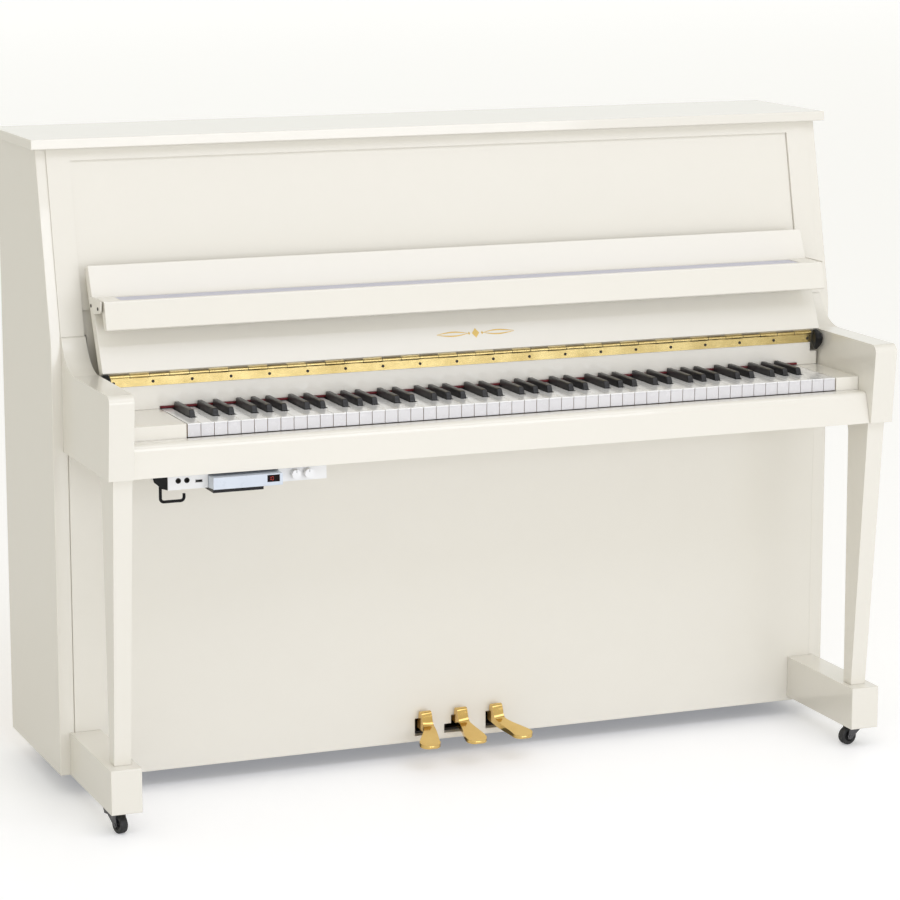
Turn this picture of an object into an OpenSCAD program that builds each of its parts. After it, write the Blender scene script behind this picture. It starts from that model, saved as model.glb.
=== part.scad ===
// Upright console piano with a silent-playing control unit.
// Millimetres, +X to the player's right, +Y towards the wall, +Z up, floor at z = 0.

/* [Cabinet] */
// Outer width over the two side boards
cabinet_w = 1504; // [1400:1:1600]
// Height of the lid's top above the floor
cabinet_h = 1152; // [1050:1:1250]
// Depth from the arms' fronts to the back
cabinet_d = 630; // [560:1:680]
// Thickness of the side boards
side_t = 27; // [20:0.5:35]
// Thickness of the lid
lid_t = 17.5; // [12:0.5:30]
// How far the lid stands out past each side board
lid_side = 12; // [0:1:30]
// How far the lid stands out in front of the side boards' top edge
lid_nose = 22; // [0:1:40]
// Distance from the arms' fronts back to the side boards' front edge
arm_reach = 293; // [240:1:330]
// Height where the front begins to lean back
lean_z = 805; // [780:1:840]
// Lean of the upper front, as depth per height
lean = 0.2305; // [0:0.005:0.4]
// Height of the side boards' lower edge
base_z = 40.5; // [30:0.5:60]

/* [Arms and legs] */
// Inset of the arm's outer face from the side board's outer face
arm_inset = 18.4; // [10:0.2:26]
// Thickness of the arms
arm_t = 43.3; // [30:0.1:55]
// Height of the arm's flat top
arm_top = 762; // [740:1:790]
// Height of the arm's underside
arm_low = 618; // [590:1:640]
// Width of a leg at its top
leg_w = 33; // [24:1:45]
// Width of a toe block
toe_w = 54.6; // [40:0.2:70]
// Height of a toe block's top
toe_top = 118; // [90:1:140]

/* [Keyboard] */
// Width of one white key with its gap
key_pitch = 23.55; // [22.5:0.05:24]
// Sideways offset of the keyboard's middle from the cabinet's middle
key_shift = 30.8; // [0:0.1:40]
// Height of the white keys' tops
key_top = 697; // [680:1:730]
// Length of the white keys in front of the name board
key_show = 152.5; // [140:0.5:165]
// Height of the black keys above the white ones
black_rise = 12; // [9:0.5:14]
// Free gap between neighbouring keys
key_gap = 1; // [0.6:0.1:1.5]

/* [Fallboard] */
// Length of the fallboard from its hinge pin
fall_len = 197.5; // [170:0.5:230]
// Thickness of the fallboard
fall_t = 20; // [14:1:26]
// Lean of the open fallboard from upright, in degrees
fall_lean = 25; // [15:1:35]
// Height of the hinge pin
pin_z = 757; // [740:1:780]
// Depth of the music ledge in front of the fallboard
ledge_d = 67; // [50:1:80]
// Height of the music ledge's front bar
bar_h = 48; // [35:1:60]

/* [Pedals] */
// Spacing of the pedals
pedal_pitch = 70; // [60:1:80]
// Width of a pedal's toe
pedal_w = 40; // [30:1:48]
// Sideways bend of the outer pedals at their toes
pedal_splay = 24; // [0:1:30]

/* [Casters] */
// Wheel radius
wheel_r = 16.5; // [12:0.5:25]
// Wheel width
wheel_w = 14; // [8:1:20]
// Trail between a caster's swivel and its axle
trail = 22; // [12:1:28]

/* [Hidden] */
half_w = cabinet_w / 2;
y_front = -cabinet_d / 2;
y_back = cabinet_d / 2;
side_y = y_front + arm_reach;
side_in = half_w - side_t;
lid_low = cabinet_h - lid_t;
arm_out = half_w - arm_inset;
arm_in = arm_out - arm_t;
toe_in = arm_out - toe_w;
// Depth of the slanted front line at a height above lean_z
function front_y(z) = side_y + lean * max(0, z - lean_z);
// Keyboard
key_x0 = key_shift - 26 * key_pitch;
name_y = -101.3;
key_y = name_y - key_show;
key_low = key_top - 23;
key_end = 130;
head_l = 52;
bed_low = arm_low;
bed_top = arm_low + 32;
bed_x = arm_in - 0.3;
slip_top = key_top - 24;
// Fallboard hinge pin
pin_y = name_y - 1.7;
sin_l = sin(fall_lean);
cos_l = cos(fall_lean);
fall_x = arm_in - 4.3;
hinge_x = 672;
// Point of the fallboard's frame, s along the board and h out of its front
function fall_y(s, h) = pin_y + s * sin_l - h * cos_l;
function fall_z(s, h) = pin_z + s * cos_l + h * sin_l;
ledge_s = 133.9;
ledge_h = fall_t / 2 + 5;
ledge_y = fall_y(ledge_s, ledge_h);
ledge_z = fall_z(ledge_s, ledge_h);
bead_r = 4.5;
ledge_top = ledge_z + bead_r;
lug_t = 2.5;
ledge_x = fall_x - lug_t - 0.3;
lining_x0 = -650;
lining_x1 = 645;
// Inside
plate_y = 185;
plate_t = 15;
plate_x = 690;
// Edges of the iron plate's upright bars
plate_bars = [[-plate_x, -640], [-330, -290], [-30, 10], [300, 340], [640, plate_x]];
wire_y = 177;
board_y = 222;
post_y = 252;
block_z = 985;

module box(x0, x1, y0, y1, z0, z1)
  translate([x0, y0, z0]) cube([x1 - x0, y1 - y0, z1 - z0]);

// Extrudes a (y, z) outline from x0 to x1
module along_x(x0, x1)
  translate([x0, 0, 0]) rotate([90, 0, 90]) linear_extrude(x1 - x0) children();

module rod_x(x0, x1, y, z, r)
  translate([x0, y, z]) rotate([0, 90, 0]) cylinder(h = x1 - x0, r = r, $fn = 48);

module rod_y(y0, y1, x, z, r)
  translate([x, y0, z]) rotate([-90, 0, 0]) cylinder(h = y1 - y0, r = r, $fn = 48);

module rod_z(z0, z1, x, y, r)
  translate([x, y, z0]) cylinder(h = z1 - z0, r = r, $fn = 48);

// Draws a right-hand piece on the side given by +1 or -1
module on_side(side) mirror([side < 0 ? 1 : 0, 0, 0]) children();

// Puts children in the fallboard's frame: z along the board, -y out of its front
module in_fallboard()
  translate([0, pin_y, pin_z]) rotate([-fall_lean, 0, 0]) children();

function arc(cy, cz, r, a0, a1, n) =
  [for (i = [0:n]) let (a = a0 + (a1 - a0) * i / n) [cy + r * cos(a), cz + r * sin(a)]];

// ---- Cabinet ----
module side_board(side) color("ivory") on_side(side)
  along_x(side_in, half_w) polygon([
    [y_back, base_z], [side_y, base_z], [side_y, lean_z],
    [front_y(lid_low), lid_low - 0.2], [y_back, lid_low - 0.2]]);
module side_board_left() side_board(-1);
module side_board_right() side_board(1);

sweep_r = 80;
nose_r = 14;
stile_proud = 3;
seam_z = arm_top + 56;
module arm(side) color("ivory") on_side(side) {
  sweep_y = front_y(seam_z) - stile_proud - sweep_r + 1;
  sweep_z = arm_top + sweep_r;
  along_x(arm_in, arm_out) polygon(concat(
    [[front_y(seam_z) - 0.2, seam_z], [front_y(seam_z) - stile_proud, seam_z]],
    arc(sweep_y, sweep_z, sweep_r, -19, -90, 18),
    arc(y_front + nose_r, arm_top - nose_r, nose_r, 90, 180, 10),
    [[y_front + 12, arm_low], [side_y - 0.2, arm_low], [side_y - 0.2, lean_z]]));
  box(arm_in, side_in - 0.3, side_y - 1, 150, arm_low, arm_top - 12);
}
module arm_left() arm(-1);
module arm_right() arm(1);

leg_bottom_w = 29.5;
leg_y = [y_front + 22, y_front + 62];
leg_back = [y_front + 95, y_front + 90];
module leg(side) color("ivory") on_side(side) difference() {
  along_x(arm_in, arm_in + leg_w) polygon(concat(
    [[leg_y[0], arm_low - 0.2], [leg_y[1], toe_top + 0.2], [leg_back[1], toe_top + 0.2]],
    arc(leg_back[0] + 30, arm_low - 30.2, 30, 180, 90, 10)));
  translate([arm_in + leg_bottom_w, y_front, toe_top])
    rotate([0, atan((leg_w - leg_bottom_w) / (arm_low - toe_top)), 0])
    translate([0, 0, -10]) cube([20, 200, 700]);
}
module leg_left() leg(-1);
module leg_right() leg(1);

toe_y = y_front + 35;
module toe_block(side) color("ivory") on_side(side) difference() {
  box(toe_in, arm_out, toe_y, side_y - 0.2, base_z - 0.5, toe_top);
  box(toe_in - 1, side_in + 0.3, side_y - 2.2, side_y, base_z - 1, toe_top + 1);
}
module toe_block_left() toe_block(-1);
module toe_block_right() toe_block(1);

stile_in = arm_in + 1.7;
shelf_z = pin_z - 9;
rail_z = 1113;
panel_low = seam_z + 42;
module slanted(x0, x1, z0, z1, d0, d1)
  along_x(x0, x1) polygon([
    [front_y(z0) + d0, z0], [front_y(z0) + d1, z0],
    [front_y(z1) + d1, z1], [front_y(z1) + d0, z1]]);
module upper_frame() color("ivory") {
  for (s = [-1, 1]) on_side(s) {
    slanted(stile_in, arm_out, seam_z + 0.3, lid_low - 0.3, -stile_proud, -0.2);
    slanted(stile_in, side_in - 0.3, seam_z + 0.3, lid_low - 0.3, -stile_proud, 34);
  }
  slanted(-stile_in - 1, stile_in + 1, rail_z, lid_low - 0.3, -stile_proud, 30);
  slanted(-stile_in - 1, stile_in + 1, seam_z + 0.3, panel_low, 6, 30);
  along_x(-fall_x, fall_x) polygon([[side_y + 6, shelf_z + 0.2], [side_y + 30, shelf_z + 0.2],
    [side_y + 30, lean_z], [front_y(seam_z + 1) + 30, seam_z + 1], [front_y(seam_z + 1) + 6, seam_z + 1],
    [side_y + 6, lean_z]]);
}
module upper_panel() color("ivory")
  slanted(-stile_in + 0.2, stile_in - 0.2, panel_low + 0.2, rail_z - 0.2, 1.5, 19.5);

panel_y = side_y - 2;
panel_t = 18;
panel_low_z = 31.5;
slot_low = 42;
slot_high = 75;
// One board from the key bed down to just above the floor, slotted for the pedals
module lower_panel() color("ivory") difference() {
  box(-side_in + 0.3, side_in - 0.3, panel_y, panel_y + panel_t, panel_low_z, bed_low - 0.5);
  for (s = [-1, 1]) box(s * pedal_pitch - 15.5, s * pedal_pitch + 15.5,
    panel_y - 1, panel_y + panel_t + 1, slot_low, slot_high);
  box(-14, 14, panel_y - 1, panel_y + panel_t + 1, slot_low, slot_high);
  box(-27.5, 0, panel_y - 1, panel_y + panel_t + 1, slot_low, slot_low + 17);
}

module bottom_board() color("burlywood") {
  box(-side_in + 1.5, side_in - 1.5, panel_y + panel_t + 0.2, 231, panel_low_z, panel_low_z + 14.5);
  for (i = [-1:1]) {
    for (s = [-1, 1]) box(i * pedal_pitch + s * 17 - 5, i * pedal_pitch + s * 17 + 5,
      pedal_pin_y - 12, pedal_pin_y + 12, panel_low_z + 14, 78);
    rod_x(i * pedal_pitch - 13, i * pedal_pitch + 13, pedal_pin_y, pedal_pin_z, 3);
  }
}

bed_front = y_front + 40;
module key_bed() color("burlywood")
  box(-bed_x, bed_x, bed_front, 160, bed_low, bed_top);

module key_slip() color("ivory") along_x(-bed_x, bed_x) polygon(concat(
  [[bed_front - 0.2, bed_low], [y_front + 16.5, bed_low], [y_front + 29, slip_top - 12]],
  arc(y_front + 39, slip_top - 10, 10, 170, 90, 8),
  [[key_y - 1.8, slip_top], [key_y - 1.8, bed_top + 0.2], [bed_front - 0.2, bed_top + 0.2]]));

module key_blocks() color("ivory") {
  box(-bed_x, key_x0 - 1.5, key_y, name_y + 18, bed_top + 0.2, key_top);
  box(key_x0 + 52 * key_pitch + 1.5, bed_x, key_y, name_y + 18, bed_top + 0.2, key_top);
}

lid_hinge_y = y_back - 4;
lid_hinge_z = lid_low + 1;
module top_lid() color("ivory") difference() {
  box(-half_w - lid_side, half_w + lid_side, front_y(lid_low) - lid_nose, y_back - 9,
    lid_low, cabinet_h);
  for (i = [-1:1]) box(i * 600 - 41, i * 600 + 41, y_back - 30, y_back + 1, lid_low - 1, lid_low + 1.8);
}

// Three butt hinges along the lid's back edge, their upper leaves let into the lid
module lid_hinges() color("goldenrod") for (i = [-1:1]) translate([i * 600, 0, 0]) {
  box(-40, 40, y_back - 29, y_back - 6.2, lid_low + 0.1, lid_low + 1.7);
  rod_x(-40, 40, lid_hinge_y, lid_hinge_z, 3);
}

// ---- Fallboard and music ledge ----
module fallboard() color("ivory") in_fallboard() {
  box(-fall_x, fall_x, -fall_t / 2, fall_t / 2, 4.3, fall_len);
  for (s = [-1, 1]) on_side(s) difference() {
    union() {
      box(fall_x - lug_t, fall_x, -ledge_h, 0, ledge_s - 5, ledge_s + 5);
      rod_x(fall_x - lug_t, fall_x, -ledge_h, ledge_s, 5);
    }
    rod_x(fall_x - 10, fall_x + 1, -ledge_h, ledge_s, 2.05);
  }
}

bar_t = 18;
bar_lean = 12;
ledge_front = ledge_y - (ledge_d - 7);
lining_y = ledge_front + 12;
module music_ledge() color("ivory") {
  difference() {
    union() {
      along_x(-ledge_x, ledge_x) polygon([
        [ledge_front + 2, ledge_top], [ledge_front - 0.4, ledge_top - 3],
        [ledge_front - bar_lean, ledge_top - bar_h + 2],
        [ledge_front - bar_lean + 2.5, ledge_top - bar_h],
        [ledge_front - bar_lean + bar_t - 2, ledge_top - bar_h],
        [ledge_front + bar_t - 5, ledge_top - 20], [ledge_y - 11, ledge_top - 22],
        [ledge_y, ledge_top - bead_r * 2], [ledge_y, ledge_top]]);
      rod_x(-ledge_x, ledge_x, ledge_y, ledge_z, bead_r);
    }
    box(lining_x0, lining_x1, lining_y, ledge_y - 1, ledge_top - 3, ledge_top + 1);
  }
  for (s = [-1, 1]) on_side(s) rod_x(ledge_x - 1, fall_x + 0.2, ledge_y, ledge_z, 2);
}

module ledge_lining() color("lavender")
  box(lining_x0 + 0.3, lining_x1 - 0.3, lining_y + 0.3, ledge_y - 1.3,
    ledge_top - 2.9, ledge_top - 1.2);

// Plates over the ledge's ends, reaching past the fallboard's ends
module ledge_brackets() color("ivory") for (s = [-1, 1]) on_side(s) {
  along_x(fall_x + 0.3, fall_x + 2.1) polygon([
    [ledge_front + 5, ledge_top + 0.8], [ledge_y + 16, ledge_top + 0.8], [ledge_y + 14, ledge_top - 12],
    [ledge_y + 7, ledge_top - 22], [ledge_y - 10, ledge_top - 27], [ledge_front + 12, ledge_top - 20.5],
    [ledge_front + 7, ledge_top - 17]]);
  for (y = [ledge_y + 5, ledge_front + 23]) rod_x(fall_x + 2, fall_x + 2.9, y, ledge_top - 14.5, 3);
}

// Name board with the shelf behind it, cut away where the closing dampers swing
module name_board() color("ivory") difference() {
  union() {
    box(-fall_x, fall_x, name_y, name_y + 20, key_top + 4.5, pin_z - 7);
    box(-fall_x, key_x0 - 1.5, name_y, name_y + 20, key_top + 0.2, key_top + 5);
    box(key_x0 + 52 * key_pitch + 1.5, fall_x, name_y, name_y + 20, key_top + 0.2, key_top + 5);
    box(-fall_x, fall_x, name_y + 19, side_y + 10, shelf_z - 10, shelf_z);
  }
  for (s = [-1, 1]) on_side(s) box(hinge_x + 0.5, fall_x + 5, name_y - 1, name_y + 34, pin_z - 35, pin_z);
}

leaf_t = 1.5;
barrel_n = 38;
barrel_l = 2 * hinge_x / barrel_n;
leaf_top = pin_z - 3.6;
module fall_hinge_fixed() color("goldenrod") {
  box(-hinge_x, hinge_x, name_y - leaf_t, name_y, pin_z - 18, leaf_top);
  for (i = [0:2:barrel_n - 1]) {
    x0 = -hinge_x + i * barrel_l;
    box(x0 + 0.3, x0 + barrel_l - 0.3, name_y - leaf_t, name_y, leaf_top - 1, pin_z);
    rod_x(x0 + 0.3, x0 + barrel_l - 0.3, pin_y, pin_z, 3);
  }
  rod_x(-hinge_x, hinge_x, pin_y, pin_z, 1.2);
  for (i = [0:19]) rod_y(name_y - leaf_t - 0.7, name_y - leaf_t + 0.3, -665 + 70 * i, pin_z - 10.8, 2.6);
}

module fall_hinge_moving() color("goldenrod") difference() {
  in_fallboard() {
    box(-hinge_x, hinge_x, 3.6, 10, 2.6, 4.1);
    for (i = [1:2:barrel_n - 1]) {
      x0 = -hinge_x + i * barrel_l;
      box(x0 + 0.3, x0 + barrel_l - 0.3, 0, 4, 1.5, 4.1);
      rod_x(x0 + 0.3, x0 + barrel_l - 0.3, 0, 0, 3);
    }
  }
  rod_x(-hinge_x - 1, hinge_x + 1, pin_y, pin_z, 1.25);
}

// Soft-close levers under the fallboard's two ends, past the hinge
module fall_dampers() color("black") for (s = [-1, 1]) on_side(s)
  along_x(hinge_x + 1.2, hinge_x + 16.5) polygon([
    [pin_y - 1.5, pin_z + 4], [pin_y - 7, pin_z + 6.5], [pin_y - 15, pin_z + 3], [pin_y - 21, pin_z - 9],
    [pin_y - 15, pin_z - 26], [pin_y - 7, pin_z - 31], [pin_y - 0.5, pin_z - 26], [pin_y - 0.5, pin_z - 6]]);

module felt_strip() color("darkred")
  box(key_x0 - 1, key_x0 + 52 * key_pitch + 1, name_y - 3.2, name_y + 14, key_top + 1.3, key_top + 4.3);

// ---- Back, soundboard, plate and strings ----
module back_frame() color("burlywood") {
  for (i = [-2:2]) box(i * 340 - 38, i * 340 + 38, post_y, y_back - 0.5, base_z - 0.3, lid_low - 6);
  box(-side_in + 0.3, side_in - 0.3, 216, y_back - 0.5, block_z, lid_low - 6);
  box(-side_in + 0.3, side_in - 0.3, 232, y_back - 0.5, base_z - 0.3, 150);
}

module soundboard() color("wheat") {
  box(-side_in + 4, side_in - 4, board_y, board_y + 8, 152, block_z - 0.5);
  intersection() {
    box(-side_in + 10, side_in - 10, board_y + 7, board_y + 26, 160, block_z - 8);
    for (i = [-4:4]) translate([i * 190, board_y + 7, 568]) rotate([0, 40, 0])
      translate([-9, 0, -620]) cube([18, 19, 1240]);
  }
  // Long treble bridge and short bass bridge, notched behind the plate's bars
  difference() {
    union() {
      translate([60, wire_y + 2.2, 520]) rotate([0, 32, 0]) translate([-15, 0, -330])
        cube([30, board_y - wire_y, 760]);
      translate([-450, wire_y + 2.2, 300]) rotate([0, 80, 0]) translate([-14, 0, -180])
        cube([28, board_y - wire_y, 340]);
    }
    for (w = plate_bars) box(w[0] - 2, w[1] + 2, wire_y, plate_y + plate_t + 1, 150, 1010);
  }
}

module iron_plate() color("darkgoldenrod") difference() {
  box(-plate_x, plate_x, plate_y, plate_y + plate_t, 156, 1004);
  for (i = [0:3]) box(plate_bars[i][1], plate_bars[i + 1][0], plate_y - 1, plate_y + plate_t + 1, 215, 940);
  for (i = [0:9]) rod_y(plate_y - 1, plate_y + plate_t + 1, -648 + i * 144, 180, 9);
  for (i = [0:9]) rod_y(plate_y - 1, plate_y + plate_t + 1, -648 + i * 144, 980, 7);
}

function wire_x(n) = -630 + n * 14.45;
function wire_low(n) = n < 26 ? 170 + n * 1.5 : 170 + (n - 26) * (n - 26) * 0.19;
function wire_r(n) = n < 26 ? 1.9 - n * 0.03 : 0.7;
// One wire per note with its tuning pin
module strings() color("silver") for (n = [0:87]) {
  rod_z(wire_low(n), 1046 + (n % 3) * 22, wire_x(n), wire_y, wire_r(n));
  rod_y(wire_y - 8, 215.8, wire_x(n), 1050 + (n % 3) * 22, 3.4);
}

// ---- Action ----
butt_y = 112;
butt_z = 915;
damper_y = 140;
damper_z = 900;
bracket_notes = [-1.5, 28.5, 59.5, 88.5];
module action_frame() color("gray") {
  for (n = bracket_notes) along_x(wire_x(n) - 2, wire_x(n) + 2) polygon([
    [138, bed_top + 0.2], [158, bed_top + 0.2], [158, 760], [150, 860], [160, 905], [160, 930],
    [142, 925], [136, 905], [100, 900], [92, 880], [92, 740], [138, 735]]);
  box(-668, 668, 122, 138, 872, 898);
  box(-668, 668, 96, 112, 716, 738);
  box(-668, 668, 82, 95, 962, 985);
  for (x = [-668, 663]) box(x, x + 5, 84, 130, 880, 984);
}

module hammers() color("tan") for (n = [0:87])
  translate([wire_x(n), butt_y, butt_z]) rotate([11, 0, 0]) {
    box(-4.5, 4.5, -7, 7, -9, 12);
    rod_z(10, 112, 0, 0, 2.7);
    box(-4.8, 4.8, -18, 12, 104, 122);
    along_x(-4.8, 4.8) polygon([[11, 100], [24, 101], [36, 108], [39, 113], [36, 118], [24, 125], [11, 126]]);
  }

damper_n = 66;
module dampers() color("dimgray") for (n = [0:damper_n - 1]) translate([wire_x(n), 0, 0]) {
  box(-4.5, 4.5, 166, 174.6, 955, 990);
  box(-3, 3, 160, 166.5, 930, 985);
  box(-3, 3, damper_y + 2, 161, 930, 937);
  box(-3, 3, damper_y + 2, damper_y + 9, damper_z + 1, 931);
}

module muffler_rail() color("seagreen") {
  box(-664, 664, 158, 164, 1062, 1084);
  box(-655, 655, 163, 167, 1040, 1084);
}

// ---- Keys ----
balance_y = -20;
balance_z = key_low - 2;
module key_frame() color("burlywood") {
  box(key_x0, key_x0 + 52 * key_pitch, key_y + 12, key_y + 48, bed_top + 0.2, bed_top + 10);
  box(-bed_x + 2, bed_x - 2, balance_y - 16, balance_y + 16, bed_top + 0.2, key_low - 2);
  box(-bed_x + 2, bed_x - 2, 100, 132, bed_top + 0.2, key_low - 0.4);
  for (x = [-576, -300, 30, 330, 612]) box(x, x + 26, key_y + 47, 101, bed_top + 0.2, bed_top + 8);
}

function semitone(n) = (n + 9) % 12;
function octave(n) = floor((n + 9) / 12);
function octave_x(n) = key_x0 + (7 * octave(n) - 5) * key_pitch;
function is_black(n) = semitone(n) < 5 ? semitone(n) % 2 == 1 : semitone(n) % 2 == 0;
function slot_x(s) = s <= 5 ? s * 3 / 5 * key_pitch : (3 + (s - 5) * 4 / 7) * key_pitch;
function white_in_octave(s) = s < 5 ? s / 2 : (s + 1) / 2;
function head_x(n) = octave_x(n) + white_in_octave(semitone(n)) * key_pitch;
function tail_x0(n) = n == 0 ? head_x(n) : octave_x(n) + slot_x(semitone(n));
function tail_x1(n) = n == 87 ? head_x(n) + key_pitch : octave_x(n) + slot_x(semitone(n) + 1);
// Notes of the five keys that are pieces of their own
singles = [39, 40, 41, 42, 43];
function is_single(n) = n >= singles[0] && n <= singles[4];

module white_key(n) {
  g = key_gap / 2;
  h0 = head_x(n) + g;
  h1 = head_x(n) + key_pitch - g;
  t0 = tail_x0(n) + g;
  t1 = tail_x1(n) - g;
  translate([0, 0, key_low]) linear_extrude(key_top - key_low) polygon([
    [h0, key_y], [h1, key_y], [h1, key_y + head_l], [t1, key_y + head_l],
    [t1, key_end], [t0, key_end], [t0, key_y + head_l], [h0, key_y + head_l]]);
}

black_w = 10.6;
module black_key(n) {
  m = (tail_x0(n) + tail_x1(n)) / 2;
  box(m - 5.6, m + 5.6, key_y + head_l + 6, key_end, key_low, key_top - 3);
  intersection() {
    along_x(m - 10, m + 10) polygon([
      [key_y + head_l + 6, key_top - 4], [key_y + head_l + 6, key_top],
      [key_y + head_l + 10.5, key_top + black_rise], [name_y - 5, key_top + black_rise],
      [name_y - 5, key_top - 4]]);
    translate([m, 0, 0]) rotate([90, 0, 0]) translate([0, 0, -name_y - 1]) linear_extrude(200)
      polygon([[-black_w / 2, key_top - 5], [black_w / 2, key_top - 5],
        [black_w / 2 - 0.7, key_top + black_rise + 1], [0.7 - black_w / 2, key_top + black_rise + 1]]);
  }
}

module keys_white() color("white")
  for (n = [0:87]) if (!is_black(n) && !is_single(n)) white_key(n);
module keys_black() color("black")
  for (n = [0:87]) if (is_black(n) && !is_single(n)) black_key(n);
module key_c4() color("white") white_key(39);
module key_cs4() color("black") black_key(40);
module key_d4() color("white") white_key(41);
module key_ds4() color("black") black_key(42);
module key_e4() color("white") white_key(43);

// ---- Pedals ----
pedal_pin_y = 20;
pedal_pin_z = 64;
pedal_tip = y_front + 186;
neck_w = 20;
function ease(t) = t * t * (3 - 2 * t);
function toe_t(y) = min(1, max(0, (-48 - y) / (-48 - pedal_tip)));
function pedal_mid(y, bend) = bend * ease(toe_t(y)) ;
function pedal_half(y) = neck_w / 2 + (pedal_w - neck_w) / 2 * ease(min(1, toe_t(y) * 1.15));
module pedal_plan(bend) {
  tip_r = pedal_w / 2;
  ys = [for (i = [0:10]) -48 + (pedal_tip + tip_r + 48) * i / 10];
  cy = pedal_tip + tip_r;
  polygon(concat(
    [[-neck_w / 2, pedal_pin_y + 40], [-neck_w / 2, -40]],
    [for (y = ys) [pedal_mid(y, bend) - pedal_half(y), y]],
    [for (i = [1:11]) let (a = 180 + 15 * i)
      [pedal_mid(cy, bend) + tip_r * cos(a), cy + tip_r * sin(a)]],
    [for (i = [0:10]) let (y = ys[10 - i]) [pedal_mid(y, bend) + pedal_half(y), y]],
    [[neck_w / 2, -40], [neck_w / 2, pedal_pin_y + 40]]));
}
module pedal(bend) color("gold") difference() {
  intersection() {
    along_x(-60, 60) polygon(concat(
      [[pedal_pin_y + 40, 57], [pedal_pin_y + 40, 71], [-26, 71], [-28, 86], [-31, 90], [-35, 91.5],
       [-40, 91], [-43, 88.5], [-45, 84], [-48, 75], [-52, 69.5]],
      [for (i = [0:8]) let (t = i / 8) [-56 - (-57 - pedal_tip) * t, 67.5 - 16 * t]],
      [[pedal_tip, 50], [pedal_tip, 47.5], [pedal_tip + 2, 46]],
      [for (i = [0:8]) let (t = i / 8) [pedal_tip + 10 + (-50 - pedal_tip - 10) * t, 46.5 + 9.5 * t]],
      [[-30, 57]]));
    translate([0, 0, 30]) linear_extrude(70) pedal_plan(bend);
  }
  rod_x(-20, 20, pedal_pin_y, pedal_pin_z, 3.05);
}
module pedal_left() translate([-pedal_pitch, 0, 0]) pedal(-pedal_splay);
module pedal_middle() pedal(0);
module pedal_right() translate([pedal_pitch, 0, 0]) pedal(pedal_splay);

// ---- Casters ----
caster_x = 717;
front_caster_y = toe_y + 49;
back_caster = [690, 272];
function caster_at(k) = [
  [-caster_x, front_caster_y], [caster_x, front_caster_y],
  [-back_caster[0], back_caster[1]], [back_caster[0], back_caster[1]]][k];
// Direction in which each fork trails, in degrees from +X
function caster_turn(k) = [-76, 190, 250, 300][k];
plate_low = base_z - 3.6;
module caster_plates() color("dimgray") for (k = [0:3]) {
  rod_z(plate_low, base_z - 0.6, caster_at(k)[0], caster_at(k)[1], 17);
  rod_z(plate_low - 7, plate_low + 1, caster_at(k)[0], caster_at(k)[1], 4);
}
module in_caster(k)
  translate([caster_at(k)[0], caster_at(k)[1], 0]) rotate([0, 0, caster_turn(k)]) children();
module caster_fork(k) color("gray") in_caster(k) difference() {
  union() {
    rod_z(plate_low - 4.6, plate_low - 0.5, 0, 0, 16);
    box(-10, trail + 1, -wheel_w / 2 - 3.2, wheel_w / 2 + 3.2, plate_low - 3.4, plate_low - 1.2);
    for (s = [-1, 1]) translate([0, s * (wheel_w / 2 + 2.2) + 1, 0]) rotate([90, 0, 0])
      linear_extrude(2) union() {
        polygon([[-10, plate_low - 1.4], [trail + 1, plate_low - 1.4], [trail + 6, wheel_r],
          [trail - 6, wheel_r - 2]]);
        translate([trail, wheel_r]) circle(r = 6, $fn = 40);
      }
    rod_y(-wheel_w / 2 - 4, wheel_w / 2 + 4, trail, wheel_r, 2.5);
  }
  rod_z(plate_low - 9, plate_low + 1, 0, 0, 4.06);
}
module caster_wheel(k) color("black") in_caster(k) translate([trail, 0, wheel_r])
  rotate([90, 0, 0]) difference() {
    rotate_extrude($fn = 64) polygon([[0.5, -wheel_w / 2], [wheel_r - 1.6, -wheel_w / 2],
      [wheel_r, -wheel_w / 2 + 1.8], [wheel_r, wheel_w / 2 - 1.8], [wheel_r - 1.6, wheel_w / 2],
      [0.5, wheel_w / 2]]);
    translate([0, 0, -wheel_w]) cylinder(h = 2 * wheel_w, r = 2.56, $fn = 40);
  }
module caster_fork_fl() caster_fork(0);
module caster_fork_fr() caster_fork(1);
module caster_fork_bl() caster_fork(2);
module caster_fork_br() caster_fork(3);
module caster_wheel_fl() caster_wheel(0);
module caster_wheel_fr() caster_wheel(1);
module caster_wheel_bl() caster_wheel(2);
module caster_wheel_br() caster_wheel(3);

// ---- Control unit under the key bed ----
unit_y = y_front + 33;
unit_x0 = -626;
unit_x1 = -346;
unit_low = 592;
unit_top = bed_low - 0.3;
drawer_x0 = -556;
drawer_x1 = -433;
drawer_y = y_front + 5;
knob_z = 605;
module control_housing() color("white") difference() {
  box(unit_x0, unit_x1, unit_y, unit_y + 120, unit_low, unit_top);
  box(drawer_x0, drawer_x1, unit_y - 1, unit_y + 112, unit_low - 1, unit_top - 0.8);
  for (x = [-608, -593]) rod_y(unit_y - 1, unit_y + 30, x, 607, 3.2);
  box(-578.5, -565.5, unit_y - 1, unit_y + 18, 601.8, 607.2);
  for (x = [-403.5, -380.5]) rod_y(unit_y - 1, unit_y + 14, x, knob_z, 3.06);
}
module control_drawer() color("lightsteelblue") difference() {
  union() {
    box(drawer_x0 + 0.5, drawer_x1 - 0.5, drawer_y, unit_y + 85, unit_low + 0.8, unit_top - 4.8);
    box(drawer_x0 + 0.5, drawer_x0 + 89, drawer_y + 2, unit_y + 85, unit_low - 5, unit_low + 1);
  }
  box(-461, -439, drawer_y - 1, drawer_y + 1.6, 599, 611);
}
module display_window() color("maroon")
  box(-460.8, -439.2, drawer_y + 0.2, drawer_y + 1.4, 599.2, 610.8);
module knob(x) color("white") {
  rod_y(unit_y - 13, unit_y - 0.6, x, knob_z, 8);
  rod_y(unit_y - 1, unit_y + 12, x, knob_z, 3);
}
module knob_volume() knob(-403.5);
module knob_voice() knob(-380.5);

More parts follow.
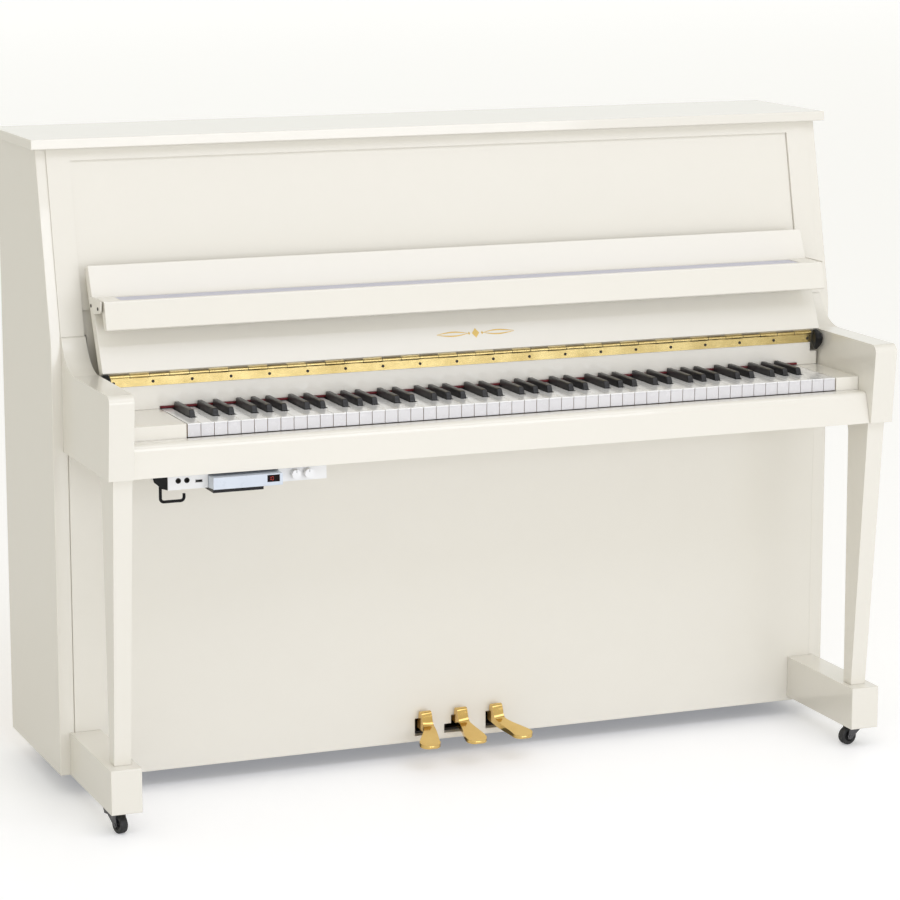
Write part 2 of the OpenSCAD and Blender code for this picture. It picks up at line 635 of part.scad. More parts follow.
hook_r = 2.6;
hook_x = -637.5;
hook_low = 572;
module headphone_hook() color("black") {
  along_y = unit_y + 2;
  box(-652, unit_x0 - 0.4, along_y, along_y + 50, unit_top - 2.5, unit_top);
  translate([0, along_y + 2, 0]) rotate([90, 0, 0]) linear_extrude(2) polygon([
    [-652, unit_top], [unit_x0 - 0.4, unit_top], [unit_x0 - 0.4, unit_low], [-636, unit_low + 3],
    [-649, unit_top - 11]]);
  rod_z(hook_low + 6, unit_top - 6, hook_x, along_y + 4, hook_r);
  translate([hook_x + 6, along_y + 4, hook_low + 6]) rotate([90, 0, 0])
    rotate([0, 0, 180]) rotate_extrude(angle = 90, $fn = 48) translate([6, 0]) circle(r = hook_r, $fn = 24);
  translate([hook_x + 6, along_y + 4, hook_low]) rotate([0, 90, 0]) cylinder(h = 29, r = hook_r, $fn = 24);
  translate([hook_x + 35, along_y + 4, hook_low + 6]) rotate([90, 0, 0])
    rotate([0, 0, 270]) rotate_extrude(angle = 90, $fn = 48) translate([6, 0]) circle(r = hook_r, $fn = 24);
  rod_z(hook_low + 6, hook_low + 12, hook_x + 41, along_y + 4, hook_r);
}

side_board_left();
side_board_right();
arm_left();
arm_right();
leg_left();
leg_right();
toe_block_left();
toe_block_right();
upper_frame();
upper_panel();
lower_panel();
bottom_board();
key_bed();
key_slip();
key_blocks();
top_lid();
lid_hinges();
fallboard();
music_ledge();
ledge_lining();
ledge_brackets();
name_board();
fall_hinge_fixed();
fall_hinge_moving();
fall_dampers();
felt_strip();
back_frame();
soundboard();
iron_plate();
strings();
action_frame();
hammers();
dampers();
muffler_rail();
key_frame();
keys_white();
keys_black();
key_c4();
key_cs4();
key_d4();
key_ds4();
key_e4();
pedal_left();
pedal_middle();
pedal_right();
caster_plates();
caster_fork_fl();
caster_fork_fr();
caster_fork_bl();
caster_fork_br();
caster_wheel_fl();
caster_wheel_fr();
caster_wheel_bl();
caster_wheel_br();
control_housing();
control_drawer();
display_window();
knob_volume();
knob_voice();
headphone_hook();
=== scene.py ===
import bpy, bmesh, math
from mathutils import Matrix, Vector


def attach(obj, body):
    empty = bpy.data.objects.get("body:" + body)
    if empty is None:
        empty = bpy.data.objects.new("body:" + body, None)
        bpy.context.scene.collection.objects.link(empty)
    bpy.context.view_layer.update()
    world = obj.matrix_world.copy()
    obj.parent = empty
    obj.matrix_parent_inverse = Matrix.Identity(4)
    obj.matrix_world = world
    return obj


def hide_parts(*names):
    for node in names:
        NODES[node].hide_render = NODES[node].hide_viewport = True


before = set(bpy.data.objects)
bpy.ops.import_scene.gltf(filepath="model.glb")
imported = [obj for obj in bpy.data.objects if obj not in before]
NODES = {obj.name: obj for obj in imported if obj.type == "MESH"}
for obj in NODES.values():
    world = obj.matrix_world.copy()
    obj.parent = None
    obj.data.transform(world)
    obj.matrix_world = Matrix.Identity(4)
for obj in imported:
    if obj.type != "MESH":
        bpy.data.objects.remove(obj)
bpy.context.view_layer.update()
MM = 0.001

# positions and sizes shared by several pieces, in millimetres (the same as in the CAD)
HINGE_Y, HINGE_Z, HINGE_HALF = -103, 757, 672      # pin of the fallboard's hinge
FALL_LEAN = -25                                    # degrees the open fallboard leans back
HINGE_LEAF_Y = HINGE_Y - 0.45                      # just behind the face of the fixed leaf's screws
HINGE_SCREW_Z = 746.2
WHEEL_R, WHEEL_TRAIL = 16.5, 22
CASTERS = (("fl", -717, -231, -76), ("fr", 717, -231, 190), ("bl", -690, 272, 250), ("br", 690, 272, 300))
UNIT_FACE_Y, JACK_Z, JACKS_X = -282, 607, (-608, -593)
WINDOW_Y = -309.95                                 # digits lie on this plane
KNOBS = (("knob_a", -403.5), ("knob_b", -380.5))
HAMMER_PITCH, HAMMER_X0 = 14.45, -630
POST_PITCH, BACK_Y = 340, 314.5


# ---------------------------------------------------------------- mesh building (millimetres)
class Shape:
    """Closed solids gathered into one mesh; self.mat is the material slot of what comes next."""

    def __init__(self):
        self.verts, self.faces, self.mats, self.mat, self.frame = [], [], [], 0, None

    def put(self, verts, faces):
        base = len(self.verts)
        for v in verts:
            v = Vector(v)
            self.verts.append((self.frame @ v if self.frame else v) * MM)
        for f in faces:
            self.faces.append([base + i for i in f])
            self.mats.append(self.mat)

    def loft(self, rings, caps=True, closed=False):
        n = len(rings[0])
        verts = [p for ring in rings for p in ring]
        faces = []
        last = len(rings) if closed else len(rings) - 1
        for k in range(last):
            a, b = k * n, ((k + 1) % len(rings)) * n
            faces += [(a + i, a + (i + 1) % n, b + (i + 1) % n, b + i) for i in range(n)]
        if caps and not closed:
            faces += [tuple(range(n))[::-1], tuple((len(rings) - 1) * n + i for i in range(n))]
        self.put(verts, faces)

    def prism(self, outline, lo, hi, axis="x"):
        def at(p, t):
            return {"x": (t, p[0], p[1]), "y": (p[0], t, p[1]), "z": (p[0], p[1], t)}[axis]
        self.loft([[at(p, lo) for p in outline], [at(p, hi) for p in outline]])

    def box(self, x0, x1, y0, y1, z0, z1):
        self.prism([(x0, y0), (x1, y0), (x1, y1), (x0, y1)], z0, z1, "z")

    def lathe(self, profile, centre, direction, steps=32):
        """profile is (radius, distance along direction); its two ends are capped."""
        d = Vector(direction).normalized()
        u = d.orthogonal().normalized()
        w = d.cross(u)
        rings = []
        for r, t in profile:
            c = Vector(centre) + d * t
            rings.append([c + (u * math.cos(a) + w * math.sin(a)) * r
                          for a in (2 * math.pi * i / steps for i in range(steps))])
        self.loft(rings)

    def ring(self, profile, centre, direction, steps=32):
        """A closed profile turned round the axis: a ring, tyre or sleeve."""
        d = Vector(direction).normalized()
        u = d.orthogonal().normalized()
        w = d.cross(u)
        rings = []
        for i in range(steps):
            a = 2 * math.pi * i / steps
            e = u * math.cos(a) + w * math.sin(a)
            rings.append([Vector(centre) + d * t + e * r for r, t in profile])
        self.loft(rings, closed=True)

    def build(self, name, body, mats, bevel=0.0, segments=2, slot=None, angle=32, stands_for=()):
        me = bpy.data.meshes.new(name)
        me.from_pydata([tuple(v) for v in self.verts], [], self.faces)
        for m in mats:
            me.materials.append(m)
        me.polygons.foreach_set("material_index", self.mats)
        bm = bmesh.new()
        bm.from_mesh(me)
        bmesh.ops.recalc_face_normals(bm, faces=bm.faces)
        limit = math.radians(angle)
        for e in bm.edges:
            e.smooth = bevel > 0 or not (len(e.link_faces) == 2 and e.calc_face_angle(0) > limit)
        for f in bm.faces:
            f.smooth = True
        bm.to_mesh(me)
        bm.free()
        o = bpy.data.objects.new(name, me)
        bpy.context.scene.collection.objects.link(o)
        if bevel:
            edge_round(o, bevel, segments, angle)
        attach(o, body)
        if stands_for:
            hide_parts(*stands_for)
        return o


def edge_round(o, width, segments=3, angle=32):
    b = o.modifiers.new("edges", "BEVEL")
    b.width, b.segments, b.limit_method = width * MM, segments, "ANGLE"
    b.angle_limit, b.profile = math.radians(angle), 0.6
    b.use_clamp_overlap = True
    w = o.modifiers.new("shading", "WEIGHTED_NORMAL")
    w.weight, w.keep_sharp = 60, False


def soften(names, width, segments=3, angle=32):
    for n in names:
        weld = NODES[n].modifiers.new("weld", "WELD")
        weld.merge_threshold = 0.02 * MM
        edge_round(NODES[n], width, segments, angle)


def paint(names, *mats):
    for n in names:
        slots = NODES[n].data.materials
        slots.clear()
        for m in mats:
            slots.append(m)


def paint_faces(name, pick):
    """pick(centre in mm, normal, size in mm) returns the slot of each face of a CAD node."""
    me = NODES[name].data
    for p in me.polygons:
        pts = [me.vertices[i].co for i in p.vertices]
        size = Vector([max(q[k] for q in pts) - min(q[k] for q in pts) for k in range(3)]) / MM
        p.material_index = pick(p.center / MM, p.normal, size)


# ---------------------------------------------------------------- materials
class Nodes:
    def __init__(self, name):
        self.m = bpy.data.materials.new(name)
        self.m.use_nodes = True
        self.t = self.m.node_tree
        self.t.nodes.clear()
        self.out = self.t.nodes.new("ShaderNodeOutputMaterial")
        self.bsdf = self.t.nodes.new("ShaderNodeBsdfPrincipled")
        self.t.links.new(self.bsdf.outputs[0], self.out.inputs[0])
        self.coord = self.t.nodes.new("ShaderNodeTexCoord")

    def node(self, kind, **sockets):
        n = self.t.nodes.new(kind)
        for k, v in sockets.items():
            k = k.replace("_", " ")
            if isinstance(v, bpy.types.NodeSocket):
                self.t.links.new(v, n.inputs[k])
            else:
                n.inputs[k].default_value = v
        return n

    def space(self, stretch=(1, 1, 1), turn=(0, 0, 0)):
        m = self.node("ShaderNodeMapping", Vector=self.coord.outputs["Object"])
        m.inputs["Scale"].default_value = stretch
        m.inputs["Rotation"].default_value = [math.radians(a) for a in turn]
        return m.outputs[0]

    def noise(self, scale, detail=3.0, rough=0.55, stretch=(1, 1, 1), turn=(0, 0, 0), bend=0.0):
        return self.node("ShaderNodeTexNoise", Vector=self.space(stretch, turn), Scale=scale, Detail=detail,
                         Roughness=rough, Distortion=bend).outputs["Fac"]

    def ramp(self, fac, stops):
        r = self.node("ShaderNodeValToRGB")
        self.t.links.new(fac, r.inputs[0])
        e = r.color_ramp.elements
        while len(e) < len(stops):
            e.new(0.5)
        for k, (p, c) in enumerate(stops):
            e[k].position, e[k].color = p, (*c, 1) if len(c) == 3 else (c[0], c[0], c[0], 1)
        return r.outputs[0]

    def link(self, out, socket):
        self.t.links.new(out, self.bsdf.inputs[socket])

    def bump(self, *layers):
        """layers of (height, strength, distance in mm), one on top of the other."""
        normal = None
        for h, s, d in layers:
            b = self.node("ShaderNodeBump", Height=h, Strength=s, Distance=d * MM)
            if normal:
                self.t.links.new(normal, b.inputs["Normal"])
            normal = b.outputs[0]
        self.link(normal, "Normal")

    def set(self, **sockets):
        for k, v in sockets.items():
            self.bsdf.inputs[k.replace("_", " ")].default_value = v
        return self.m


def lacquer(name, light, dark):
    """Polished polyester: a deep clear coat over an even colour, faintly wavy from buffing."""
    n = Nodes(name)
    n.link(n.ramp(n.noise(14.0, 9, 0.75), [(0.1, dark), (0.9, light)]), "Base Color")
    n.link(n.ramp(n.noise(38.0, 8, 0.75), [(0.1, (0.27,)), (0.9, (0.30,))]), "Roughness")
    wave = n.node("ShaderNodeBump", Height=n.noise(26.0, 1.0), Strength=0.05, Distance=0.4 * MM)
    n.link(wave.outputs[0], "Coat Normal")
    n.bump((n.noise(60.0, 1.0), 0.03, 0.15))
    return n.set(Coat_Weight=0.7, Coat_Roughness=0.06, Coat_IOR=1.5, Specular_IOR_Level=0.3)


def plastic(name, light, dark, rough=(0.3, 0.42), grain=900.0, bump=0.12, coat=0.0, depth=0.05, gloss=0.5):
    n = Nodes(name)
    n.link(n.ramp(n.noise(14.0, 4, 0.6), [(0.3, dark), (0.7, light)]), "Base Color")
    n.link(n.ramp(n.noise(60.0, 4, 0.6), [(0.3, (rough[0],)), (0.7, (rough[1],))]), "Roughness")
    n.bump((n.noise(grain, 2.0), bump, depth))
    return n.set(Coat_Weight=coat, Coat_Roughness=0.08, Specular_IOR_Level=gloss)


def metal(name, light, dark, rough=(0.18, 0.32), brushed=(1, 1, 1), grain=260.0, bump=0.05, spots=5.0):
    n = Nodes(name)
    n.link(n.ramp(n.noise(spots, 6, 0.65), [(0.25, dark), (0.7, light)]), "Base Color")
    n.link(n.ramp(n.noise(grain, 4, 0.6, brushed), [(0.3, (rough[0],)), (0.7, (rough[1],))]), "Roughness")
    n.bump((n.noise(grain, 3, 0.6, brushed), bump, 0.04))
    return n.set(Metallic=1.0)


def wood(name, light, dark, stretch, turn=(0, 0, 0), rough=(0.42, 0.6), coat=0.0, scale=34.0):
    """Straight-grained timber; stretch is small along the grain."""
    n = Nodes(name)
    rings = n.noise(scale, 6, 0.7, stretch, turn, 0.6)
    fibre = n.noise(scale * 9, 4, 0.7, stretch, turn)
    mid = tuple((a + b) / 2 for a, b in zip(light, dark))
    base = n.ramp(rings, [(0.32, dark), (0.5, mid), (0.66, light)])
    tint = n.ramp(fibre, [(0.3, (0.82, 0.80, 0.78)), (0.65, (1, 1, 1))])
    mix = n.node("ShaderNodeMix")
    mix.data_type, mix.blend_type = "RGBA", "MULTIPLY"
    mix.inputs["Factor"].default_value = 0.55
    n.t.links.new(base, mix.inputs[6])
    n.t.links.new(tint, mix.inputs[7])
    n.link(mix.outputs[2], "Base Color")
    n.link(n.ramp(fibre, [(0.3, (rough[1],)), (0.7, (rough[0],))]), "Roughness")
    n.bump((rings, 0.12, 0.2), (fibre, 0.18, 0.08))
    return n.set(Coat_Weight=coat, Coat_Roughness=0.18)


def felt(name, light, dark, sheen=0.5):
    n = Nodes(name)
    n.link(n.ramp(n.noise(330.0, 6, 0.75), [(0.3, dark), (0.7, light)]), "Base Color")
    n.link(n.ramp(n.noise(120.0, 3, 0.6), [(0.3, (0.85,)), (0.7, (0.97,))]), "Roughness")
    n.bump((n.noise(900.0, 5, 0.8, bend=1.5), 0.6, 0.25), (n.noise(140.0, 3), 0.3, 0.3))
    return n.set(Sheen_Weight=sheen, Sheen_Roughness=0.45)


ivory = lacquer("ivory_lacquer", (0.815, 0.788, 0.714), (0.799, 0.771, 0.696))
key_white = plastic("key_acrylic", (0.90, 0.90, 0.90), (0.87, 0.87, 0.875), (0.12, 0.2), 700.0, 0.02, 0.6)
# a darker copy of the white key acrylic for the key fronts: painted shade, as the fronts get less light
# than the tops
front_painted_shade = plastic("front_acrylic_painted_shade", (0.72, 0.71, 0.72), (0.68, 0.67, 0.685), (0.2, 0.3), 700.0, 0.03,
                    0.3)
key_black = plastic("key_sharp_resin", (0.016, 0.016, 0.018), (0.009, 0.009, 0.010), (0.32, 0.44), 1100.0,
                    0.06, 0.08)
black_plastic = plastic("black_moulding", (0.015, 0.015, 0.016), (0.008, 0.008, 0.009), (0.32, 0.46),
                        900.0, 0.2, gloss=0.25)
black_paint = plastic("black_powder_coat", (0.010, 0.010, 0.010), (0.005, 0.005, 0.005), (0.4, 0.52),
                      520.0, 0.35, gloss=0.15)
white_plastic = plastic("white_moulding", (0.84, 0.84, 0.84), (0.80, 0.80, 0.80), (0.32, 0.42), 1200.0,
                        0.15)
silver_paint = plastic("silver_blue_paint", (0.66, 0.715, 0.79), (0.60, 0.655, 0.735), (0.26, 0.36),
                       1500.0, 0.2, 0.3)
dark_window = plastic("tinted_window", (0.012, 0.005, 0.005), (0.007, 0.003, 0.003), (0.12, 0.2),
                      600.0, 0.02, gloss=0.12)
rubber = plastic("tyre_rubber", (0.022, 0.022, 0.023), (0.012, 0.012, 0.012), (0.42, 0.6), 380.0, 0.35)
brass = metal("polished_brass", (0.88, 0.64, 0.24), (0.72, 0.46, 0.14), (0.07, 0.16), spots=9.0)
hinge_brass = metal("hinge_brass", (0.78, 0.63, 0.29), (0.52, 0.39, 0.15), (0.14, 0.30), (1, 12, 12), 60.0,
                    0.08, 22.0)
nickel = metal("nickel_plate", (0.66, 0.65, 0.63), (0.50, 0.49, 0.47), (0.14, 0.28))
steel = metal("dark_zinc_steel", (0.17, 0.17, 0.18), (0.06, 0.06, 0.065), (0.16, 0.30), (1, 1, 1), 150.0,
              0.1, 60.0)
wire_steel = metal("music_wire", (0.70, 0.70, 0.70), (0.55, 0.54, 0.53), (0.2, 0.32), (1, 1, 0.05), 900.0,
                   0.05)
copper = metal("copper_winding", (0.82, 0.40, 0.22), (0.66, 0.29, 0.15), (0.22, 0.36), (0.2, 0.2, 6),
               700.0, 0.5)
pin_blue = metal("blued_pin_steel", (0.30, 0.33, 0.40), (0.20, 0.22, 0.27), (0.25, 0.4))
plate_gold = plastic("bronze_plate_paint", (0.62, 0.44, 0.17), (0.50, 0.34, 0.12), (0.3, 0.45), 240.0,
                     0.55, 0.25, 0.25)
bracket_gold = plastic("bronze_bracket_paint", (0.52, 0.40, 0.20), (0.40, 0.30, 0.14), (0.32, 0.48), 300.0,
                       0.4, 0.1, 0.2)
spruce = wood("spruce_board", (0.74, 0.53, 0.28), (0.60, 0.38, 0.17), (1, 1, 0.03), (0, -40, 0),
              (0.28, 0.42), 0.35, 60.0)
rib_wood = wood("spruce_rib", (0.72, 0.52, 0.29), (0.58, 0.38, 0.19), (1, 1, 0.03), (0, 40, 0),
                (0.4, 0.55), 0.1, 60.0)
post_wood = wood("back_post_timber", (0.66, 0.47, 0.27), (0.50, 0.32, 0.16), (1, 1, 0.035), (0, 0, 0),
                 (0.4, 0.58), 0.1)
beam_wood = wood("beam_timber", (0.64, 0.45, 0.26), (0.49, 0.31, 0.155), (0.035, 1, 1), (0, 0, 0),
                 (0.4, 0.58), 0.1)
maple = wood("action_maple", (0.70, 0.54, 0.35), (0.58, 0.42, 0.25), (0.05, 1, 1), (0, 0, 0), (0.4, 0.55),
             0.05, 80.0)
key_wood = wood("key_stick_spruce", (0.72, 0.56, 0.36), (0.60, 0.44, 0.26), (1, 0.04, 1), (0, 0, 0),
                (0.45, 0.6), 0.0, 90.0)
red_felt = felt("red_felt", (0.20, 0.014, 0.020), (0.11, 0.006, 0.010), 0.15)
white_felt = felt("hammer_felt", (0.80, 0.77, 0.70), (0.68, 0.64, 0.56))
green_felt = felt("muffler_felt", (0.10, 0.24, 0.17), (0.06, 0.16, 0.11))
lining = felt("ledge_lining_felt", (0.60, 0.60, 0.70), (0.52, 0.52, 0.62), 0.3)
glow = plastic("digit_glow", (0.40, 0.03, 0.015), (0.30, 0.02, 0.01))
glow_bsdf = glow.node_tree.nodes["Principled BSDF"]
glow_bsdf.inputs["Emission Color"].default_value = (1.0, 0.05, 0.02, 1)
glow_bsdf.inputs["Emission Strength"].default_value = 0.22
# near-black timber for the bottom board: painted shade for the dark slot under the lower panel
board_shade_black = wood("near_black_board_painted_shade", (0.030, 0.024, 0.020), (0.012, 0.010, 0.009), (0.035, 1, 1),
                   (0, 0, 0), (0.5, 0.7))
gold_leaf = plastic("gold_leaf", (0.80, 0.56, 0.14), (0.66, 0.44, 0.09), (0.28, 0.42), 600.0, 0.25, 0.4)
# dark brown: the ledge brackets' screw heads and the jack linings, and painted shade on the fallboard
# hinge's screw heads, screw slots and knuckle joints
dark_parts_and_shade = plastic("dark_parts_and_painted_shade", (0.03, 0.025, 0.02), (0.015, 0.012, 0.01), (0.5, 0.7))

# ---------------------------------------------------------------- cabinet
CABINET = ["side_board_left", "side_board_right", "arm_left", "arm_right", "leg_left", "leg_right",
           "toe_block_left", "toe_block_right", "upper_frame", "upper_panel", "lower_panel", "key_slip",
           "key_blocks", "top_lid", "fallboard", "music_ledge", "name_board", "ledge_brackets"]
paint(CABINET, ivory)
soften(["side_board_left", "side_board_right", "arm_left", "arm_right", "leg_left", "leg_right"], 1.6)
soften(["toe_block_left", "toe_block_right", "top_lid"], 1.8)
soften(["fallboard", "music_ledge", "name_board", "key_slip"], 1.5)
soften(["upper_frame", "upper_panel", "lower_panel", "key_blocks"], 1.2)
soften(["ledge_brackets"], 0.5, 2)
paint(["key_bed"], ivory)
paint(["key_frame"], beam_wood)
# the bottom board is painted near-black: painted shade under the lower panel
paint(["bottom_board"], board_shade_black)
soften(["key_bed", "bottom_board", "back_frame"], 1.2, 2)

# ---------------------------------------------------------------- brass, felt and small trim
paint(["lid_hinges"], brass)
# the fixed leaf's screw heads (slot 1) are painted dark brown: painted shade, so the brass screws read as
# shaded holes
paint(["fall_hinge_fixed"], hinge_brass, dark_parts_and_shade)
paint_faces("fall_hinge_fixed",
            lambda c, n, s: 1 if c.y < -102.9 and abs(c.z - HINGE_SCREW_Z) < 2.8 and s.x < 6 else 0)
paint(["fall_hinge_moving"], hinge_brass)
paint(["ledge_brackets"], ivory, dark_parts_and_shade)
paint_faces("ledge_brackets", lambda c, n, s: 1 if abs(c.x) > 688.3 and s.z < 7 else 0)
paint(["pedal_left", "pedal_middle", "pedal_right"], brass)
soften(["pedal_left", "pedal_middle", "pedal_right"], 1.7, 3, 40)
paint(["felt_strip"], red_felt)
soften(["felt_strip"], 1.2, 2)
paint(["ledge_lining"], lining)
soften(["ledge_lining"], 0.5, 2)

# ---------------------------------------------------------------- casters
paint(["caster_plates", "caster_fork_fl", "caster_fork_fr", "caster_fork_bl", "caster_fork_br"], steel)
soften(["caster_fork_fl", "caster_fork_fr", "caster_fork_bl", "caster_fork_br"], 0.5, 2, 40)

# ---------------------------------------------------------------- control unit
paint(["control_housing", "knob_volume", "knob_voice"], white_plastic)
soften(["control_housing"], 0.8, 2)
soften(["knob_volume", "knob_voice"], 0.9, 3, 40)
paint(["control_drawer"], silver_paint, black_plastic)
paint_faces("control_drawer", lambda c, n, s: 1 if c.z < 592.7 else 0)
soften(["control_drawer"], 0.6, 2)
paint(["display_window"], dark_window)
paint(["headphone_hook"], black_paint)
soften(["headphone_hook"], 0.6, 2, 50)

# ---------------------------------------------------------------- inside and back (CAD solids)
paint(["back_frame"], post_wood, beam_wood)
paint_faces("back_frame", lambda c, n, s: 1 if (c.z > 984 or c.z < 152) and s.x > s.z else 0)
paint(["soundboard"], spruce, rib_wood)
paint_faces("soundboard", lambda c, n, s: 1 if c.y > 230.6 or c.y < 221 else 0)
paint(["iron_plate"], plate_gold)
soften(["iron_plate"], 2.0, 2)
paint(["strings"], wire_steel, copper, pin_blue)
paint_faces("strings", lambda c, n, s: 2 if s.y > 6 or c.z > 1046 and s.z < 8 else (1 if c.x < -255 else 0))
paint(["action_frame"], bracket_gold, maple)
paint_faces("action_frame", lambda c, n, s: 1 if s.x > 60 else 0)
paint(["dampers"], maple, white_felt)
paint_faces("dampers", lambda c, n, s: 1 if c.y > 166.1 and c.z > 954 else 0)
paint(["muffler_rail"], green_felt)

# ---------------------------------------------------------------- keys
PITCH, KEY_Y, TOP, LOW, END, HEAD = 23.55, -253.8, 697.0, 674.0, 130.0, 52.0
KEY_X0 = 30.8 - 26 * PITCH


def key_plan(n):
    """Sides of the head and of the tail of note n, 0 to 87."""
    o, t = divmod(n + 9, 12)
    x = KEY_X0 + (7 * o - 5) * PITCH

    def cut(k):
        return (k * 0.6 if k <= 5 else 3 + (k - 5) * 4 / 7) * PITCH
    head = x + (t / 2 if t < 5 else (t + 1) / 2) * PITCH
    return (head + 0.5, head + PITCH - 0.5, (head if n == 0 else x + cut(t)) + 0.5,
            (head + PITCH if n == 87 else x + cut(t + 1)) - 0.5)


def is_black(n):
    t = (n + 9) % 12
    return t % 2 == 1 if t < 5 else t % 2 == 0


def white_keys(notes):
    s = Shape()
    for n in notes:
        h0, h1, t0, t1 = key_plan(n)
        neck = KEY_Y + HEAD

        def plan(y0, y1):
            return [(h0, y0), (h1, y0), (h1, neck), (t1, neck), (t1, y1), (t0, y1), (t0, neck), (h0, neck)]
        s.mat = 0
        s.prism(plan(KEY_Y, -62), TOP - 2.3, TOP, "z")
        # front plate: the darker acrylic copy, painted shade on the key fronts
        s.mat = 1
        s.box(h0, h1, KEY_Y + 0.7, KEY_Y + 2.9, LOW, TOP - 2.4)
        s.mat = 2
        s.prism(plan(KEY_Y + 3, END), LOW, TOP - 2.4, "z")
        s.prism([(t0, -60), (t1, -60), (t1, END), (t0, END)], TOP - 2.3, TOP, "z")
    return s


def black_keys(notes):
    s = Shape()
    for n in notes:
        h0, h1, t0, t1 = key_plan(n)
        m = (t0 + t1) / 2
        rings = []
        for y, top in ((-195.8, 698.2), (-195.4, 699.9), (-193.9, 703.9), (-192.2, 707.2), (-190.8, 708.5),
                       (-188.6, 709.0), (-107.0, 709.0), (-106.5, 708.7), (-106.3, 708.1)):
            w = 5.3 - 0.7 * (top - 692) / 18
            half = [(5.3, 694.2), (w + 0.05, top - 2.2), (w - 0.25, top - 1.0),
                    (w - 0.9, top - 0.3), (w - 1.9, top)]
            rings.append([(m + x, y, z) for x, z in half] + [(m - x, y, z) for x, z in half[::-1]])
        s.mat = 0
        s.loft(rings)
        s.box(m - 5.6, m + 5.6, -195.3, -86, LOW, 694)
        s.mat = 1
        s.box(m - 5.6, m + 5.6, -85.9, END, LOW, 694)
    return s


# notes that are bodies of their own: number, body
SINGLE = {39: "c4", 40: "cs4", 41: "d4", 42: "ds4", 43: "e4"}
rest_keys = [n for n in range(88) if n not in SINGLE]
white_keys([n for n in rest_keys if not is_black(n)]).build(
    "white_key_set", "white_keys", [key_white, front_painted_shade, key_wood], 0.55, 2, "key_white",
    stands_for=["keys_white"])
black_keys([n for n in rest_keys if is_black(n)]).build(
    "black_key_set", "black_keys", [key_black, key_wood], 0.35, 2, "key_black", 50,
    stands_for=["keys_black"])
for n, body in SINGLE.items():
    node = "key_" + body
    if is_black(n):
        black_keys([n]).build("piece_" + node, body, [key_black, key_wood], 0.35, 2, "key_black", 50,
                              stands_for=[node])
    else:
        white_keys([n]).build("piece_" + node, body, [key_white, front_painted_shade, key_wood], 0.55, 2, "key_white",
                              stands_for=[node])

# ---------------------------------------------------------------- hammers
s = Shape()
for n in range(88):
    s.frame = (Matrix.Translation((HAMMER_X0 + HAMMER_PITCH * n, 112, 915))
               @ Matrix.Rotation(math.radians(11), 4, "X"))
    s.mat = 0
    s.prism([(-7, -9), (7, -9), (7, 6), (4, 12), (-4, 12), (-7, 8)], -4.5, 4.5)
    s.lathe([(2.7, 10), (2.7, 108)], (0, 0, 0), (0, 0, 1), 10)
    s.prism([(-17, 107), (-12, 104.5), (14, 106), (25, 112),
             (25, 114), (14, 120), (-12, 121.5), (-17, 119)], -4.3, 4.3)
    s.mat = 1
    for x0, x1, k in ((-4.8, -4.2, 0.97), (-4.2, 4.2, 1.0), (4.2, 4.8, 0.97)):
        arc = [(11, 100.4), (18, 100.1), (25, 101.4), (31.5, 104.6), (36.2, 108.6), (38.6, 112.6),
               (38.9, 113.4), (36.2, 117.4), (31.5, 121.4), (25, 124.6), (18, 125.9), (11, 125.6),
               (13.5, 120.2), (24.6, 114.3), (24.6, 111.7), (13.5, 105.8)]
        s.prism([(25 + (y - 25) * k, 113 + (z - 113) * k) for y, z in arc], x0, x1)
s.frame = None
s.build("hammer_set", "hammer_row", [maple, white_felt], 0.0, slot="hammer_felt", stands_for=["hammers"])

# ---------------------------------------------------------------- caster wheels
for key, x, y, turn in CASTERS:
    a = math.radians(turn)
    c = (x + WHEEL_TRAIL * math.cos(a), y + WHEEL_TRAIL * math.sin(a), WHEEL_R)
    axis = (-math.sin(a), math.cos(a), 0)
    s = Shape()
    s.ring([(9.8, -6.4), (14.6, -7.0), (15.8, -6.4), (WHEEL_R, -4.8),
            (WHEEL_R, 4.8), (15.8, 6.4), (14.6, 7.0), (9.8, 6.4)], c, axis, 48)
    s.mat = 1
    s.ring([(2.56, -6.9), (4.6, -6.9), (5.2, -5.2), (9.2, -4.8), (9.9, -6.0),
            (9.9, 6.0), (9.2, 4.8), (5.2, 5.2), (4.6, 6.9), (2.56, 6.9)], c, axis, 48)
    s.build("wheel_" + key, "wheel_" + key, [rubber, black_plastic], 0, slot="wheel",
            stands_for=["caster_wheel_" + key])

# ---------------------------------------------------------------- hinge details
# dark rings at the 37 knuckle joints of the fallboard hinge: painted shade for the gaps between the
# knuckles
s = Shape()
for i in range(1, 38):
    s.ring([(2.5, -0.5), (3.06, -0.5), (3.06, 0.5), (2.5, 0.5)],
           (-HINGE_HALF + i * 2 * HINGE_HALF / 38, HINGE_Y, HINGE_Z), (1, 0, 0), 20)
s.build("hinge_knuckle_gap_painted_shade", "cabinet", [dark_parts_and_shade], 0, slot="brass")
s = Shape()
for i in (-1, 0, 1):
    x = 600 * i
    s.mat = 0
    s.prism([(284, 1128.6), (312.6, 1128.6), (313.9, 1132.4),
             (312.4, 1132.6), (311.2, 1130.1), (284, 1130.1)], x - 39, x + 39)
    s.mat = 1
    for dx in (-27, 0, 27):
        s.lathe([(3.4, 0), (3.0, 0.7), (1.4, 1.1)], (x + dx, 296, 1130.0), (0, 0, 1), 20)
s.build("lid_hinge_lower_leaves", "cabinet", [brass, nickel], 0, slot="brass")
# thin dark bars across the fixed leaf's 20 screw heads: painted shade for the screw slots
s = Shape()
for i in range(20):
    s.box(-667 + 70 * i, -663 + 70 * i, HINGE_Y - 0.62, HINGE_LEAF_Y, HINGE_SCREW_Z - 0.35,
          HINGE_SCREW_Z + 0.35)
s.build("hinge_slot_painted_shade", "cabinet", [dark_parts_and_shade], 0, slot="brass")

